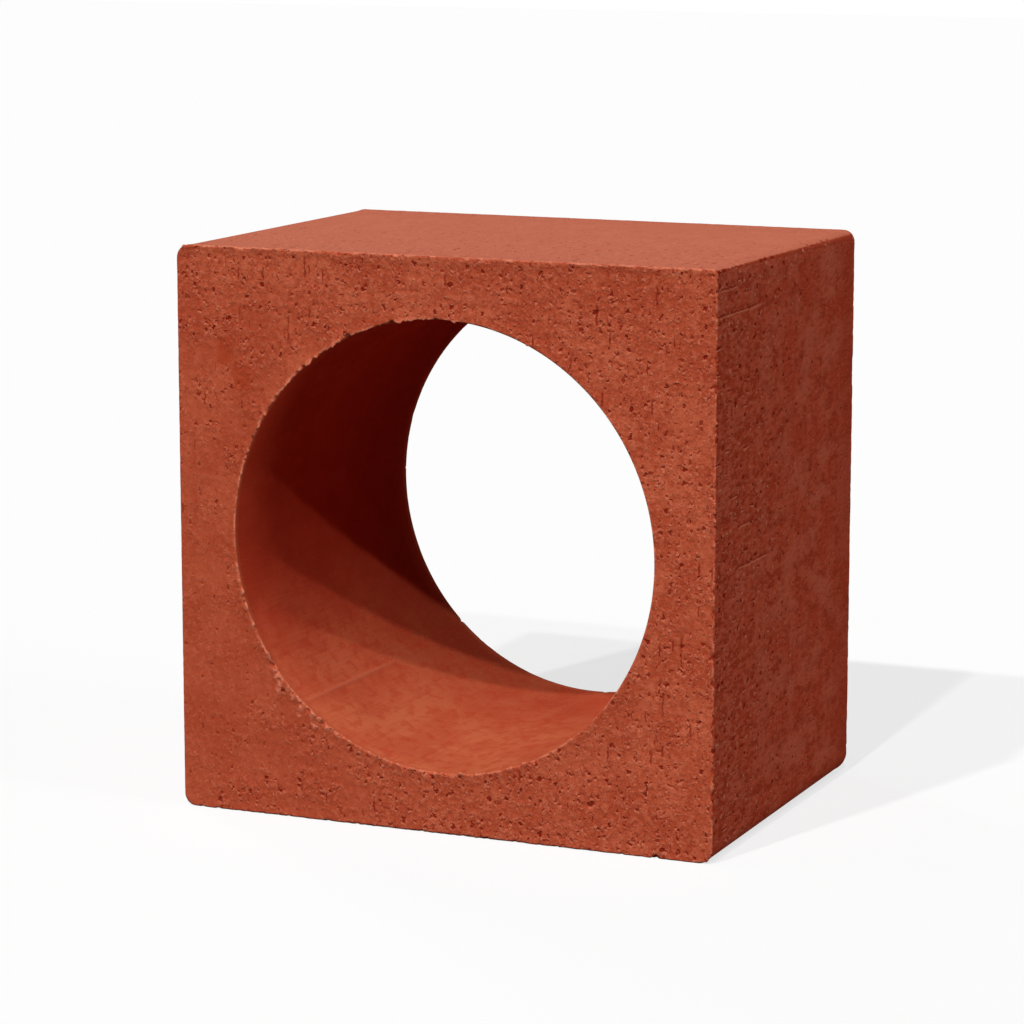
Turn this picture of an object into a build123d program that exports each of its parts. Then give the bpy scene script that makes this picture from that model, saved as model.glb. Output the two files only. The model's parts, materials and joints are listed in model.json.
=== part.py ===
from build123d import *
import os

# A square clay screen block with one round bore straight through it, fired as one piece.
# Millimetres. +Z is up and the bore runs along Y. The front cut face looks towards -Y.
# The origin is on the floor, under the middle of the block.

# Section that the die shapes

# across the cut face, along X
face_width = 200.0
# up the cut face, along Z
face_height = 200.0
# the round hole that the core of the die leaves
bore_diameter = 157.0
# the four long edges, rounded by the die
corner_radius = 4.0

# Length that the wire cuts off

# from cut face to cut face, along Y
depth = 140.0
# the broken edge round each cut face and round each rim of the bore
arris_break = 0.6

# Block as it leaves the kiln

section = RectangleRounded(face_width, face_height, corner_radius) - Circle(bore_diameter / 2)
length_of_clay = extrude(Plane.XZ * section, depth / 2, both=True)
cut_faces = length_of_clay.faces().filter_by(Axis.Y)
block = chamfer(cut_faces.edges(), arris_break)
clay_block = Pos(0, 0, face_height / 2) * block

os.makedirs("parts", exist_ok=True)
export_step(clay_block, "parts/clay_block.step")
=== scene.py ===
# %% [markdown]
# # A square clay screen brick with one round hole
#
# The brick is one piece of fired clay. Damp clay was pushed through a square die with a round
# core in it, and a wire cut the column to length. So four sides and the hole are smooth, from
# sliding along steel, and the front and back are rough, from the wire that dragged through.
#
# The packed CAD part gives the true block. This lesson puts a detailed skin in its place: one
# closed surface with the pits, tears and crumbling edges in its shape, and three finishes of
# the same clay on it.

# %% Load the fixed frame
import bpy
import itertools
import json
import math
import numpy as np
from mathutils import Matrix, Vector


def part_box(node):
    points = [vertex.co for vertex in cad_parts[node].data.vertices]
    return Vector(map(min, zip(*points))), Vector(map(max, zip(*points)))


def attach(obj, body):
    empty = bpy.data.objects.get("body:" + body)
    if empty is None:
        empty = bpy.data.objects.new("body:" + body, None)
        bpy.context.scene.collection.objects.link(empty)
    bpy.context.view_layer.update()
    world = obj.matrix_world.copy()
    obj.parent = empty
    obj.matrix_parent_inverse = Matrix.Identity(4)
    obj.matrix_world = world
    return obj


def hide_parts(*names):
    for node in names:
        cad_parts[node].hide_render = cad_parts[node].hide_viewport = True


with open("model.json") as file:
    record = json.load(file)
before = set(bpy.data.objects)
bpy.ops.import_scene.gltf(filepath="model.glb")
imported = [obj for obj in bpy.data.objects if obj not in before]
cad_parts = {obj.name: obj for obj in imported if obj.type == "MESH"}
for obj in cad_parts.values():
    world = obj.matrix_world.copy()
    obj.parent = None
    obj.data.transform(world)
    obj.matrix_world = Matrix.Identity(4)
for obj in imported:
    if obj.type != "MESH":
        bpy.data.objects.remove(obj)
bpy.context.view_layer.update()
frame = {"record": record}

# %% [markdown]
# ## Sizes
#
# The block's box and the hole's radius are read from the frame, so the skin can't drift away
# from the solid. All of the shaping is worked out in millimetres, because that is how a brick
# is measured, and turned into metres at the very end.

# %% Read the block's sizes
mm_per_metre = 1000.0
block_low, block_high = (np.array(corner) * mm_per_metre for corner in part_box("clay_block"))
face_size, block_depth, block_height = block_high - block_low
middle_height = block_low[2] + block_height / 2
front, back = block_low[1], block_high[1]
mounts = frame["record"]["mounts"]
bore_radius = next(mount["dims"]["r_mm"] for mount in mounts if mount["kind"] == "bore")
print("block", face_size, "x", block_depth, "x", block_height, "mm, hole radius", bore_radius)

# %% [markdown]
# ## Chance that repeats
#
# Clay is uneven everywhere, yet the brick has to come out the same each time. So every uneven
# shape comes from a noise that depends only on a place and a seed. A random number sits at each
# corner of a grid of cubes. It is stirred together from the corner's own three whole numbers,
# so nothing has to be stored.

# %% A fixed random number for every grid corner
axis_primes = (73856093, 19349663, 83492791)
seed_prime, stirring_prime = 40503, 1274126177
low_32_bits, low_24_bits = 0xFFFFFFFF, 0xFFFFFF


def corner_number(cell, seed):
    """One fixed random number from 0 to 1 for each whole-number corner: its three coordinates
    times large primes, folded together with the seed and stirred twice."""
    x, y, z = (cell[..., axis] * prime for axis, prime in enumerate(axis_primes))
    mixed = x ^ y ^ z ^ seed * seed_prime
    mixed = (mixed ^ mixed >> 13) * stirring_prime & low_32_bits
    return ((mixed ^ mixed >> 15) & low_24_bits) / low_24_bits


print("numbers at three corners:", corner_number(np.arange(9).reshape(3, 3), 1).round(3))

# %% [markdown]
# A point between the corners takes a smooth mix of its eight corners' numbers. One layer of
# that gives round lumps of one size, and real clay has lumps on its lumps, so finer and lower
# layers are laid on top. The eased step below them turns such a noise into a patch with a soft
# border.

# %% Lumps, and lumps on lumps
def lumps(points, size, seed):
    """Smooth noise from -1 to 1 whose lumps are about that size: each point takes its eight
    grid corners' numbers, weighted by how near they are, eased so that no crease shows."""
    scaled = points / size
    cell = np.floor(scaled).astype(np.int64)
    part = scaled - cell
    ease = part * part * (3 - 2 * part)
    total = np.zeros(points.shape[:-1])
    for step in itertools.product((0, 1), repeat=3):
        near = np.where(step, ease, 1 - ease).prod(axis=-1)
        total += near * corner_number(cell + step, seed)
    return 2 * total - 1


def rough(points, size, seed, layers=3):
    """Lumps on lumps: each layer is half the size and half the height of the one before, and
    its seed is 17 further on."""
    return sum(lumps(points, size / 2**k, seed + 17 * k) / 2**k for k in range(layers))


def soft_step(value, start, end):
    """0 before start, 1 after end, and an eased climb between them."""
    climb = np.clip((value - start) / (end - start), 0, 1)
    return climb * climb * (3 - 2 * climb)


print("noise at the origin:", rough(np.zeros((1, 3)), 10.0, 1))

# %% [markdown]
# ## The outlines
#
# The die gives the brick two outlines that run the whole depth: the round hole and the square
# with rounded corners. Both are walked with the same number of steps, so step 90 of one faces
# step 90 of the other across the clay. The steps crowd together on the small corner arcs, where
# a coarse walk would show as flats.

# %% Walk round the hole and round the square
steps_round = 800
walk = np.arange(steps_round) / steps_round
hole_direction = np.stack([np.cos(2 * np.pi * walk), np.sin(2 * np.pi * walk)], axis=-1)
hole_outline = bore_radius * hole_direction


def square_outline(share, radius, corner_crowding=2.2):
    """Points and outward directions on a square with rounded corners, with the corner radius
    given for each step. Each quarter runs up half a side, round a corner arc whose length counts
    for more, and along half the next side. The quarter is then turned by as many right angles
    as it comes round."""
    flat = face_size / 2 - radius
    arc = radius * np.pi / 2 * corner_crowding
    quarter = np.floor(share * 4)
    run = (share * 4 - quarter) * (2 * flat + arc)
    angle = np.clip((run - flat) / arc, 0, 1) * np.pi / 2
    direction = np.stack([np.cos(angle), np.sin(angle)], axis=-1)
    point = flat[:, None] + radius[:, None] * direction
    point[:, 1] -= np.clip(flat - run, 0, None)
    point[:, 0] -= np.clip(run - flat - arc, 0, None)
    turn = quarter * np.pi / 2
    turned = np.stack([np.cos(turn), -np.sin(turn), np.sin(turn), np.cos(turn)], axis=-1)
    turned = turned.reshape(-1, 2, 2)
    return tuple(np.einsum("nij,nj->ni", turned, array) for array in (point, direction))


print("the hole is walked in steps of", round(2 * math.pi * bore_radius / steps_round, 3), "mm")

# %% [markdown]
# The long edges aren't equally round. The lower right one is widest, and the upper right one is
# nearly sharp at the front and opens towards the back. So each corner has two radii in mm, one
# at the front and one at the back, and the front and the back have an outline each.

# %% Give each long edge its roundness
corner_radii = {"upper right": (1.5, 4.2), "upper left": (4.9, 4.9),
                "lower left": (4.4, 4.4), "lower right": (5.0, 8.0)}
front_radius, back_radius = np.repeat(list(corner_radii.values()), steps_round // 4, axis=0).T
front_outline, front_direction = square_outline(walk, front_radius)
back_outline, back_direction = square_outline(walk, back_radius)
front_wall, back_wall = front_outline - hole_outline, back_outline - hole_outline
front_width, back_width = (np.linalg.norm(wall, axis=-1) for wall in (front_wall, back_wall))
print("clay between hole and side:", front_width.min().round(2), "to", front_width.max().round(2), "mm")

# %% [markdown]
# ## One closed skin
#
# A box with a hole cut out by a Boolean is the quick way to such a block, but its few large
# faces have no points to crumble. A table of points in regular rows can be pushed in and out by
# a formula, so the whole skin is one table.
#
# Cut the brick from the hole outwards and the cut is a rectangle: along the hole, across the
# back, along the outside, and across the front to where it began. The skin is that rectangle
# carried round the hole, so it closes on itself both ways, like a ring, with no seam, no pole
# and no lid to stitch on. The rings stand close together at the four edges, because edges
# crumble, and on the front, which shows the most.

# %% Place the rings of the section
edge_gaps = np.array([0.35, 0.8, 1.4, 2.2, 3.4])
last_gap = 4.6
even_rings = {"hole": 6, "back": 21, "side": 8, "front": 44}


def along(length, rings_between):
    """Distances from 0 to a length, without its ends: the close gaps of one edge, even steps,
    and the same close gaps before the other edge."""
    length = np.asarray(length, dtype=float)[..., None]
    even = np.linspace(0, 1, rings_between)
    middle = last_gap + (length - 2 * last_gap) * even
    near = np.broadcast_to(edge_gaps, middle.shape[:-1] + edge_gaps.shape)
    return np.concatenate([near, middle, length - near[..., ::-1]], axis=-1)


def with_ends(distances, length):
    """The same distances with the edge itself at both ends."""
    return np.concatenate([[0.0], distances, [length]])


down_the_hole = front + with_ends(along(block_depth, even_rings["hole"]), block_depth)
along_the_side = back - with_ends(along(block_depth, even_rings["side"]), block_depth)
across_back = along(back_width, even_rings["back"])
across_front = along(front_width, even_rings["front"])[:, ::-1]
run_lengths = [len(down_the_hole), across_back.shape[1], len(along_the_side), across_front.shape[1]]
rings = sum(run_lengths)
print(rings, "rings of", steps_round, "points:", 2 * rings * steps_round, "triangles")

# %% [markdown]
# The rectangle's four runs are laid out as whole tables, one row for each step round the hole
# and one column for each ring. The first two tables say how deep a point lies, and how far out
# it is between the hole's wall and the outside.

# %% Lay the section's four runs end to end
def alike(values):
    """Repeats one row of values for every step round the hole."""
    return np.broadcast_to(values, (steps_round, len(values)))


run_of_ring = np.repeat(np.arange(4), run_lengths)
in_hole, on_back, on_side, on_front = (run_of_ring == k for k in range(4))
on_cut = on_back | on_front

depth_place = np.concatenate([alike(down_the_hole), np.full(across_back.shape, back),
                              alike(along_the_side), np.full(across_front.shape, front)], axis=1)
out_share = np.concatenate([alike(0 * down_the_hole), across_back / back_width[:, None],
                            alike(0 * along_the_side + 1), across_front / front_width[:, None]], axis=1)
print("rings down the hole, across the back, along the side, across the front:", run_lengths)

# %% [markdown]
# Each ring takes its outline from the front's and the back's, mixed by how deep it lies. Beside
# each point's place the tables keep which way the clay faces there and how far the nearest
# edges are, because wear is a matter of how near an edge is.

# %% Work out every point, where it faces, and how far the edges are
backness = ((depth_place - front) / block_depth)[..., None]
wall_here = front_wall[:, None] * (1 - backness) + back_wall[:, None] * backness
side_facing = front_direction[:, None] * (1 - backness) + back_direction[:, None] * backness
side_facing /= np.linalg.norm(side_facing, axis=-1, keepdims=True)
flat_place = hole_outline[:, None] + wall_here * out_share[..., None]
skin = np.stack([flat_place[..., 0], depth_place, flat_place[..., 1] + middle_height], axis=-1)

facing = np.zeros_like(skin)
facing[:, in_hole] = np.insert(-hole_direction, 1, 0, axis=1)[:, None]
facing[:, on_side] = np.insert(side_facing[:, on_side], 1, 0, axis=2)
facing[:, on_back] = (0, 1, 0)
facing[:, on_front] = (0, -1, 0)

from_hole = out_share * np.linalg.norm(wall_here, axis=-1)
from_side = (1 - out_share) * np.linalg.norm(wall_here, axis=-1)
from_front, from_back = depth_place - front, back - depth_place
print("skin table", skin.shape)

# %% [markdown]
# ## Crumbled edges
#
# Where the wire leaves the clay, the edge breaks in crumbs. Two of the four edges are rims of
# the hole and two run round the outside. They aren't worn alike: the front rim is worst at its
# upper left and lower left, and the front's outer edge along the top and up the right side. So
# each edge has a wear for every step round it, from 0 to about 1.

# %% Say where each edge is worn
first_of_hole, last_of_hole = 0, run_lengths[0] - 1
first_of_side = run_lengths[0] + run_lengths[1]
last_of_side = first_of_side + run_lengths[2] - 1
edge_rings = {"front rim": first_of_hole, "back rim": last_of_hole,
              "front edge": last_of_side, "back edge": first_of_side}


def worn_towards(direction, degrees, spread_degrees):
    """1 where a loop faces that many degrees round from the right, fading to 0 at the spread."""
    angle = np.degrees(np.arctan2(direction[:, 1], direction[:, 0]))
    apart = np.abs((angle - degrees + 180) % 360 - 180)
    return 1 - soft_step(apart, spread_degrees * 0.5, spread_degrees)


upper_left = worn_towards(hole_direction, degrees=130, spread_degrees=50)
lower_left = worn_towards(hole_direction, degrees=-115, spread_degrees=75)
towards_top, towards_right, towards_floor = (
    worn_towards(front_direction, degrees, spread_degrees=80) for degrees in (90, 0, -90))
wear = {"front rim": 0.1 + 0.9 * np.maximum(upper_left, lower_left),
        "back rim": np.full(steps_round, 0.3),
        "front edge": 0.05 + 0.85 * np.maximum(towards_top, towards_right) + 0.3 * towards_floor,
        "back edge": np.full(steps_round, 0.3)}
print("mean wear:", {name: float(wear_here.mean().round(2)) for name, wear_here in wear.items()})

# %% [markdown]
# A Bevel modifier would break an edge by one width all along, and clay never breaks so evenly.
# So an edge here is a rounding whose size changes from point to point: a third to half a
# millimetre on a good stretch, and one to two where it has crumbled.

# %% Size of the broken edge at every step round
crumb_mm, break_mm, patch_mm = 1.7, 4.5, 24.0
seeds_per_edge = 20


def broken_width(marks, seed, sound, worst, worn_places):
    """How wide the edge is broken, in mm: a sound width, plus crumbling wherever a coarse and
    a fine noise together stand above a threshold, more so in worn places."""
    fine = lumps(marks, crumb_mm, seed + 5)
    crumbling = soft_step(lumps(marks, break_mm, seed) + 0.5 * fine, 0.1, 0.9)
    patches = 0.3 + 0.7 * soft_step(lumps(marks, patch_mm, seed + 3), -0.3, 0.4)
    return sound * (1 + 0.5 * fine) + worst * crumbling * patches * worn_places


sound_width = {"front rim": 0.3, "back rim": 0.35, "front edge": 0.45 + 0.3 * towards_floor,
               "back edge": 0.6}
worst_width = {"front rim": 1.0, "back rim": 1.4, "front edge": 1.5, "back edge": 1.0}
broken = {}
for number, (name, ring) in enumerate(edge_rings.items()):
    broken[name] = broken_width(skin[:, ring], seeds_per_edge * number, sound_width[name],
                                worst_width[name], wear[name])
    print(name, "is broken by", broken[name].min().round(2), "to", broken[name].max().round(2), "mm")

# %% [markdown]
# Both surfaces that meet at an edge sink towards it by the same rule, so they always meet, and
# no separate strip of faces is needed for the rounding between them.

# %% Sink both surfaces towards each edge
def sink(distance, width):
    """How far a surface sinks near a broken edge: half the width at the edge itself, less with
    the square of the distance, and nothing from one width away."""
    return width / 2 * np.clip(1 - distance / width, 0, 1) ** 2


sunk = np.zeros(skin.shape[:2])
meetings = ((in_hole, from_front, "front rim"), (in_hole, from_back, "back rim"),
            (on_side, from_front, "front edge"), (on_side, from_back, "back edge"),
            (on_front, from_hole, "front rim"), (on_front, from_side, "front edge"),
            (on_back, from_hole, "back rim"), (on_back, from_side, "back edge"))
for rings_here, distance, name in meetings:
    sunk[:, rings_here] += sink(distance[:, rings_here], broken[name][:, None])
print("deepest wear:", sunk.max().round(2), "mm")

# %% [markdown]
# The edge itself belongs to two surfaces. Its ring is counted with the hole or with the side,
# so it also has to sink the other way, into the cut face.

# %% Let the edge rings sink both ways
worn = skin - facing * sunk[..., None]
into_face = {name: (0, 1 if "front" in name else -1, 0) for name in edge_rings}
for name, ring in edge_rings.items():
    worn[:, ring] += broken[name][:, None] / 2 * np.array(into_face[name])
print("points moved by wear:", int((np.abs(worn - skin).max(axis=-1) > 0).sum()))

# %% [markdown]
# ## Bites and crumbs on the edges
#
# On top of that even crumbling, an edge has single bites, where a lump fell out, and single
# crumbs, which the wire dragged over it and which stand proud. A crumb could be a small piece
# of its own, but it was fired onto the clay, so it is pushed out of the skin. Both are the same
# move: every point near a place is pushed along the line out of the clay there, inwards for a
# bite and outwards for a crumb.

# %% Push bites in and crumbs out
def pushed(table, centres, radii, heights, seed):
    """Adds to every point, for each centre, a push of that height along the centre's line out
    of the clay, full at the centre and gone at its radius, with a ragged outline. Also gives
    back how strongly each point was pushed, from 0 to 1."""
    outline = 0.3 * lumps(table, 0.9, seed)
    moves, strongest = np.zeros_like(table), np.zeros(table.shape[:2])
    for (step, ring, line_out), radius, height in zip(centres, radii, heights):
        reach = np.linalg.norm(table - table[step, ring], axis=-1) / radius + outline
        push = 1 - soft_step(reach, 0.3, 1.0)
        moves += (height * push)[..., None] * line_out
        strongest = np.maximum(strongest, push)
    return table + moves, strongest


def slanting(name, step):
    """The line out of the clay, halfway between the two surfaces that meet at an edge."""
    ring = edge_rings[name]
    return (facing[step, ring] - np.array(into_face[name])) / math.sqrt(2)


print("line out at the first step of the front rim:", slanting("front rim", 0).round(2))

# %% [markdown]
# A centre is a step, a ring and a line out. Scattered ones are drawn by chance, far more of
# them where an edge is worn. Placed ones are found from where they are seen: by their place on
# the front, or by how far round the hole they lie.

# %% Find centres on the edges and beside the rim
def edge_places(counts, seed):
    """Random places on the four edges: the chance goes with the square of the wear."""
    chance = np.random.default_rng(seed)
    return [(step, edge_rings[name], slanting(name, step)) for name, count in counts.items()
            for step in chance.choice(steps_round, count, p=wear[name] ** 2 / (wear[name] ** 2).sum())]


def nearest_step(across, up):
    """The step of the outer loop that lies nearest to a place on the front."""
    loop_up = front_outline[:, 1] + middle_height
    return int(np.argmin(np.hypot(front_outline[:, 0] - across, loop_up - up)))


def by_the_rim(degrees, rings_out):
    """A place on the front face that far round the hole, so many rings out from its rim, with
    the line out of the clay there. No rings out is the rim itself."""
    step = round(degrees / 360 * steps_round) % steps_round
    if rings_out == 0:
        return step, first_of_hole, slanting("front rim", step)
    return step, rings - rings_out, facing[step, rings - rings_out]


print("step nearest the front's upper left corner:", nearest_step(-face_size / 2, block_height))

# %% [markdown]
# The bites that show most are put where the real brick has them: a row up the right edge, where
# the clay tore as it dried, smaller ones along the floor edge, two on the top edge, and three
# gaps on the lower left of the rim. Each has its place in mm, or in degrees and rings, and its
# size. The rest are scattered.

# %% Take the bites out
right_bites = ((192.8, 0.7), (184.6, 0.9), (170.6, 0.8), (160.0, 0.7), (118.0, 0.7), (93.2, 0.8),
               (71.3, 1.4), (61.8, 1.1), (46.0, 0.8), (32.4, 1.1), (22.9, 1.0), (15.7, 0.8))
floor_bites = ((-93.3, 0.7), (-86.3, 0.8), (-75.1, 0.6), (-69.2, 0.6), (-62.5, 0.6), (-58.8, 0.6),
               (-43.8, 0.8), (-32.3, 0.7), (-26.8, 0.6), (-6.8, 0.7), (17.6, 0.9), (27.9, 0.8),
               (36.8, 0.6), (43.1, 0.7), (67.5, 0.8), (80.0, 1.3))
top_bites = ((18.0, 1.2), (-62.0, 1.0))
rim_gaps = ((-144.4, 2, 1.2), (-129.6, 2, 0.9), (-124.6, 1, 0.8))

placed_bites = [(face_size / 2, up, size) for up, size in right_bites]
placed_bites += [(across, 0.0, size) for across, size in floor_bites]
placed_bites += [(across, block_height, size) for across, size in top_bites]
steps = [nearest_step(across, up) for across, up, size in placed_bites]
bites = [(step, last_of_side, slanting("front edge", step)) for step in steps]
bites += [by_the_rim(degrees, rings_out) for degrees, rings_out, size in rim_gaps]
bite_sizes = [size for *place, size in placed_bites + list(rim_gaps)]

chance = np.random.default_rng(5)
more_bites = edge_places({"front rim": 20, "back rim": 5, "front edge": 18, "back edge": 4}, seed=6)
bite_sizes = np.concatenate([bite_sizes, 0.5 + 0.8 * chance.random(len(more_bites)) ** 2])
bite_spread, bite_depth = 1.15, 0.75
worn, bitten = pushed(worn, bites + more_bites, bite_spread * bite_sizes, -bite_depth * bite_sizes, seed=41)
print(len(bite_sizes), "bites, the largest", bite_sizes.max(), "mm")

# %% [markdown]
# Crumbs are scattered over the front rim and the front edge. On the lower left of the rim the
# wire pressed a cluster of larger ones onto the face, and those are placed: each has how far
# round the hole it lies, how many rings out from the rim, and its size. They are low for their
# size, as if smeared.

# %% Put the crumbs on
rim_crumbs = ((-155.9, 0, 1.3), (-150.0, 0, 1.1), (-146.5, 0, 1.2), (-143.0, 1, 1.7), (-141.9, 3, 1.8),
              (-140.4, 1, 1.5), (-139.6, 4, 1.9), (-138.5, 6, 1.6), (-137.2, 2, 1.8), (-135.0, 3, 1.7),
              (-133.2, 1, 1.5), (-131.2, 4, 1.7), (-130.4, 6, 1.6), (-128.0, 2, 1.8), (-126.2, 5, 1.9),
              (-122.8, 2, 1.5), (-119.6, 1, 1.4), (-113.0, 0, 1.2))
crumb_rise, smeared_rise = 0.5, 0.28

crumb_places = edge_places({"front rim": 150, "front edge": 60}, seed=7)
crumb_sizes = 0.55 + 0.8 * chance.random(len(crumb_places)) ** 2
crumb_places += [by_the_rim(degrees, rings_out) for degrees, rings_out, size in rim_crumbs]
rim_sizes = np.array([size for degrees, rings_out, size in rim_crumbs])
crumb_heights = np.concatenate([crumb_rise * crumb_sizes, smeared_rise * rim_sizes])
crumb_sizes = np.concatenate([crumb_sizes, rim_sizes])
worn, crumbs_out = pushed(worn, crumb_places, crumb_sizes, crumb_heights, seed=43)
print(len(crumb_sizes), "crumbs, the tallest", crumb_heights.max().round(2), "mm")

# %% [markdown]
# Freshly broken clay is paler than the skin that was burnt with it, and a broken edge catches
# the light, so each arris shows as a thin broken pale line, partly paler clay and partly a
# painted highlight. It follows the broken width, with gaps where the edge stayed sound. It is
# widest along the top of the front and on the left of the rim. The crumbs share its pale tone.

# %% Find the pale line along each edge
pale_width = {"front rim": 0.6 + 0.4 * np.maximum(lower_left, upper_left), "back rim": 0.5,
              "front edge": 0.25 + 0.8 * towards_top, "back edge": 0.5}
line_strength = {"front rim": 1.0 - 0.35 * lower_left, "back rim": np.full(steps_round, 0.65),
                 "front edge": np.ones(steps_round), "back edge": np.ones(steps_round)}
# The pale tone of crumbs and edges is partly paler clay and partly painted highlight.
crumbled = crumbs_out.copy()
for rings_here, distance, name in meetings:
    here = skin[:, rings_here]
    gaps_in_line = soft_step(lumps(here, 2.6, 61) + 0.6 * lumps(here, 9.0, 63), -0.2, 0.4)
    line_width = (broken[name] * 0.9 + pale_width[name])[:, None]
    pale_line = 1 - soft_step(distance[:, rings_here] / line_width, 0.3, 1.0)
    pale_line = line_strength[name][:, None] * pale_line * gaps_in_line
    crumbled[:, rings_here] = np.maximum(crumbled[:, rings_here], pale_line)
crumbled *= 1 - bitten
print("pale share of the skin:", crumbled.mean().round(4))

# %% [markdown]
# ## Pits and tears on the cut faces
#
# The wire pulls small stones and air holes open, which leaves pits, and it tears the clay in
# short upright cracks. A bump in the material could draw them all, but it would leave the mesh
# flat, so the largest are real hollows. Each pit is an uneven bowl, and each crack a narrow
# valley that wanders as it climbs. Finer pores are left to the material, because they are
# smaller than the gaps between the mesh's points.

# %% Bowls and tears as depth tables
def bowls(points, places, seed):
    """Depth in mm at each point under a scatter of bowls. A bowl has a steep wall and a flat
    bottom, and noise pushes its outline in and out by a third of its radius."""
    ragged = 0.33 * rough(points, 1.6, seed, 2)
    deepest = np.zeros(points.shape[:-1])
    for across, up, radius, depth, tall in places:
        reach = np.hypot(points[..., 0] - across, (points[..., 2] - up) / tall) / radius + ragged
        np.maximum(deepest, depth * (1 - soft_step(reach, 0.45, 1.05)), out=deepest)
    return deepest


def tears(points, places, seed):
    """Depth in mm under short cracks: each is a line that wanders a little as it climbs, with a
    narrow valley across it that fades out at both tips."""
    wander = 0.7 * lumps(points * (0, 0, 1), 3.0, seed) + 0.3 * lumps(points, 1.2, seed + 1)
    deepest = np.zeros(points.shape[:-1])
    for across, up, half_length, half_width, depth, lean in places:
        rise = points[..., 2] - up
        aside = np.abs(points[..., 0] - across - lean * rise + wander) / half_width
        between_tips = 1 - soft_step(np.abs(rise) / half_length, 0.6, 1.0)
        np.maximum(deepest, depth * (1 - soft_step(aside, 0.3, 1.2)) * between_tips, out=deepest)
    return deepest


middle_of_front = np.array([[0.0, front, middle_height]])
print("a bowl's middle is", bowls(middle_of_front, [(0.0, middle_height, 2.0, 1.0, 1.0)], 1), "mm deep")

# %% [markdown]
# Most pits and cracks are scattered by chance, each face with its own seeds. The largest cracks
# are put where the real brick shows them: across, up, half length, half width, depth and lean.

# %% Scatter the pits and tears
def scattered_bowls(count, seed):
    """Random bowls over a cut face: most are about a millimetre in radius and a few larger."""
    chance = np.random.default_rng(seed)
    size = 0.75 + 0.5 * chance.random(count) ** 3
    spot = chance.uniform(-face_size / 2, face_size / 2, (count, 2)) + (0, middle_height)
    deep = size * chance.uniform(0.35, 0.7, count)
    return np.column_stack([spot, size, deep, chance.uniform(0.7, 1.5, count)])


def scattered_tears(count, seed):
    """Random upright cracks over a cut face, 3 to 12 mm long."""
    chance = np.random.default_rng(seed)
    spot = chance.uniform(-face_size / 2, face_size / 2, (count, 2)) + (0, middle_height)
    size = [chance.uniform(low, high, count) for low, high in ((1.5, 6.0), (0.4, 0.6), (0.2, 0.5))]
    return np.column_stack([spot, *size, chance.uniform(-0.12, 0.12, count)])


placed_tears = [(-58.0, 172.0, 5.0, 0.5, 0.5, 0.0), (80.5, 56.0, 6.5, 0.45, 0.4, 0.02),
                (79.0, 38.0, 6.0, 0.45, 0.4, -0.03), (70.0, 178.0, 4.5, 0.45, 0.4, 0.0)]
tears_on_a_face, bowls_on_a_face = 14, 40
hollow = np.zeros(skin.shape[:2])
for rings_here, seed, placed in ((on_front, 101, placed_tears), (on_back, 201, [])):
    here = skin[:, rings_here]
    cracks = np.vstack([scattered_tears(tears_on_a_face, seed), np.array(placed).reshape(-1, 6)])
    pits_here = bowls(here, scattered_bowls(bowls_on_a_face, seed + 1), seed)
    hollow[:, rings_here] = np.maximum(pits_here, tears(here, cracks, seed + 2))
print("deepest pit or tear:", hollow.max().round(2), "mm")

# %% [markdown]
# Under the pits the whole block is a little uneven. It dried slightly hollow, the cut faces
# have low lumps where the wire jumped, and the hole has faint waves along its depth. All of it
# only takes clay away, so no face bulges past the true block. It fades out at the edges, where
# two surfaces have to meet.

# %% Slow unevenness everywhere
dried_hollow, wire_lumps, core_waves = 0.16, 0.10, 0.08
edge_fade = 5.0
uneven = dried_hollow * (1 + rough(skin, 70.0, 5, 2) / 1.5)
uneven[:, on_cut] += wire_lumps * (1 + rough(skin[:, on_cut], 7.0, 7, 3) / 1.75)
uneven[:, in_hole] += core_waves * (1 + lumps(skin[:, in_hole] * (1, 0.12, 1), 9.0, 9))
ring_fade = soft_step(np.minimum(from_front, from_back), 0, edge_fade)
ring_fade[:, on_cut] = soft_step(np.minimum(from_hole, from_side)[:, on_cut], 0, edge_fade)
shaped = worn - facing * (uneven * ring_fade + hollow)[..., None]
print("unevenness takes up to", (uneven * ring_fade).max().round(2), "mm")

# %% [markdown]
# One thin raised line runs down the hole at its lower left and ends halfway. A grain of grit on
# the core ploughs such a line as the clay slides over it. It is a ridge across the walk round
# the hole, held between two depths.

# %% The ploughed line in the hole
line_angle = math.radians(-132.0)
line_height = 0.22
around_line = np.arctan2(hole_direction[:, 1], hole_direction[:, 0]) - line_angle
aside = np.abs((around_line + np.pi) % (2 * np.pi) - np.pi)[:, None] * bore_radius
inside = depth_place[:, in_hole] - front
ridge = 1 - soft_step(aside, 0.3, 1.1)
ridge = ridge * soft_step(inside, 2, 6) * (1 - soft_step(inside, 68, 74))
ploughed = np.zeros(skin.shape[:2])
ploughed[:, in_hole] = ridge
shaped += facing * (line_height * ploughed)[..., None]
print("ploughed line reaches", inside[ridge > 0.5].max().round(1), "mm into the hole")

# %% [markdown]
# The brick stands on its lower side. A crumb that stood proud of that side's edge would go into
# the floor, and under a real brick it is pressed flat. So no point is let below the bed.

# %% Keep the crumbs off the floor
below_bed = shaped[..., 2] < block_low[2]
shaped[..., 2] = np.maximum(shaped[..., 2], block_low[2])
print(int(below_bed.sum()), "points were raised to the bed")

# %% [markdown]
# ## From tables to a mesh
#
# The points go in ring by ring. Each four-sided face takes a point, its neighbour round the
# hole and the same two on the next ring. Both counts wrap, which closes the skin.

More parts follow.
